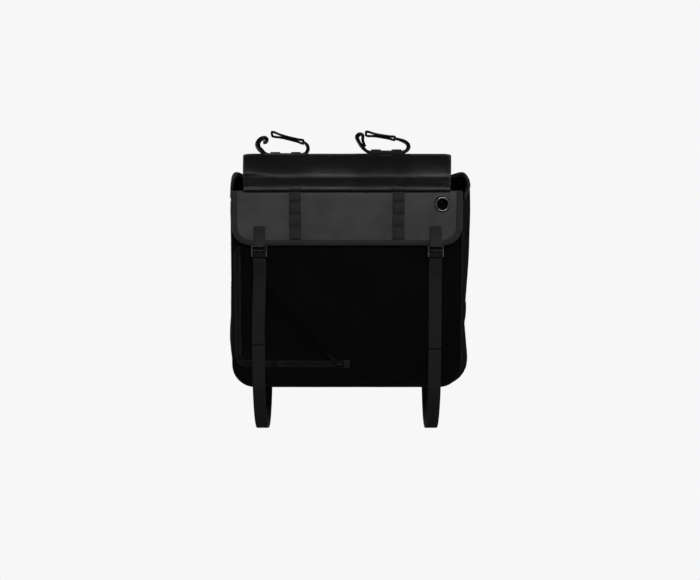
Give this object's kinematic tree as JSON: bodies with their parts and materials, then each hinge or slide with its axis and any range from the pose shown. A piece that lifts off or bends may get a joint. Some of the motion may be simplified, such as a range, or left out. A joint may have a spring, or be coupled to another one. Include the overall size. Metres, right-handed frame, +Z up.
{
  "type": "bicycle pannier bag",
  "caption": "Boxy fabric pannier with a folded flap, buckled webbing straps that hang in loops, a corner zip pocket and wire-gate carabiners for a bicycle rack.",
  "frame": {"origin": "middle of the wear patch on the outside of the back, where the bag leans on the rack, halfway between its sides", "axes": "+Y out of the back towards the rack, -Y out of the front with the flap and buckles, +Z up, +X to the right of someone facing the front"},
  "size_m": [0.3971, 0.2114, 0.5063],
  "materials": {
    "body_fabric": "matt coated weave",
    "flap_fabric": "coated weave with a soft sheen",
    "webbing": "ribbed polyester webbing",
    "piping": "folded tape binding",
    "board": "matt sheet",
    "wear_patch": "matt coated rubber",
    "zip": "satin nylon",
    "buckle": "satin acetal",
    "grommet": "gunmetal plated",
    "carabiner": "black anodised"
  },
  "bodies": {
    "bag": {"back_board": "board", "back_panel": "body_fabric", "back_piping": "piping", "base_board": "board", "board_sleeve": "body_fabric", "carabiner_loop_left_1": "webbing", "carabiner_loop_left_2": "webbing", "carabiner_loop_right_1": "webbing", "carabiner_loop_right_2": "webbing", "ear_hem_left": "piping", "ear_hem_right": "piping", "flap_hem": "flap_fabric", "front_panel": "body_fabric", "front_piping": "piping", "gusset": "body_fabric", "mouth_hem": "piping", "pocket_lining": "body_fabric", "strap_left": "webbing", "strap_right": "webbing", "strap_tail_left": "webbing", "strap_tail_right": "webbing", "wear_patch": "wear_patch", "zip_coil": "zip", "zip_garage": "webbing", "zip_tape_inner": "zip", "zip_tape_outer": "zip"},
    "flap_top": {"flap_neck": "flap_fabric"},
    "flap_front": {"flap_face": "flap_fabric", "flap_lining": "body_fabric", "flap_binding": "piping", "grommet": "grommet", "grommet_washer": "grommet", "daisy_chain_left": "webbing", "daisy_chain_right": "webbing", "buckle_tab_left": "webbing", "buckle_tab_right": "webbing"},
    "left_buckle": {"buckle_left": "buckle", "strap_turn_left": "webbing"},
    "right_buckle": {"buckle_right": "buckle", "strap_turn_right": "webbing"},
    "left_carabiner": {"carabiner_frame_left": "carabiner"},
    "right_carabiner": {"carabiner_frame_right": "carabiner"},
    "left_gate": {"carabiner_gate_left": "carabiner"},
    "right_gate": {"carabiner_gate_right": "carabiner"},
    "slider": {"zip_slider": "zip"},
    "pull": {"zip_pull": "zip"}
  },
  "joints": [
    {"name": "flap_hinge", "type": "hinge", "parent": "bag", "child": "flap_top", "pos_m": [0, -0.0025, 0.1962], "axis": [-1, 0, 0], "range_deg": [0, 105]},
    {"name": "flap_fold", "type": "hinge", "parent": "flap_top", "child": "flap_front", "pos_m": [0, -0.1578, 0.1306], "axis": [-1, 0, 0], "range_deg": [0, 75]},
    {"name": "left_buckle_tilt", "type": "hinge", "parent": "flap_front", "child": "left_buckle", "pos_m": [-0.139, -0.1618, 0.0425], "axis": [-1, 0, 0], "range_deg": [0, 35]},
    {"name": "right_buckle_tilt", "type": "hinge", "parent": "flap_front", "child": "right_buckle", "pos_m": [0.141, -0.1618, 0.0425], "axis": [-1, 0, 0], "range_deg": [0, 35]},
    {"name": "left_carabiner_swing", "type": "hinge", "parent": "bag", "child": "left_carabiner", "pos_m": [-0.1115, 0.0053, 0.194], "axis": [-1, 0, 0], "range_deg": [-35, 105]},
    {"name": "left_gate_pivot", "type": "hinge", "parent": "left_carabiner", "child": "left_gate", "pos_m": [-0.077, 0.02491, 0.21736], "axis": [0, -0.766, 0.6428], "range_deg": [0, 18], "stiffness_Nm_per_rad": 0.05, "springref_deg": -17.19},
    {"name": "right_carabiner_swing", "type": "hinge", "parent": "bag", "child": "right_carabiner", "pos_m": [0.0635, 0.0053, 0.1985], "axis": [-1, 0, 0], "range_deg": [-35, 105]},
    {"name": "right_gate_pivot", "type": "hinge", "parent": "right_carabiner", "child": "right_gate", "pos_m": [0.0835, 0.02352, 0.22358], "axis": [0, -0.809, 0.5878], "range_deg": [0, 18], "stiffness_Nm_per_rad": 0.05, "springref_deg": -17.19},
    {"name": "zip_slide", "type": "slide", "parent": "bag", "child": "slider", "axis": [-1, 0, 0], "range_m": [0, 0.085]},
    {"name": "zip_pull_swing", "type": "hinge", "parent": "slider", "child": "pull", "pos_m": [-0.0125, -0.15585, -0.148], "axis": [0, 1, 0], "range_deg": [-40, 100]}
  ]
}
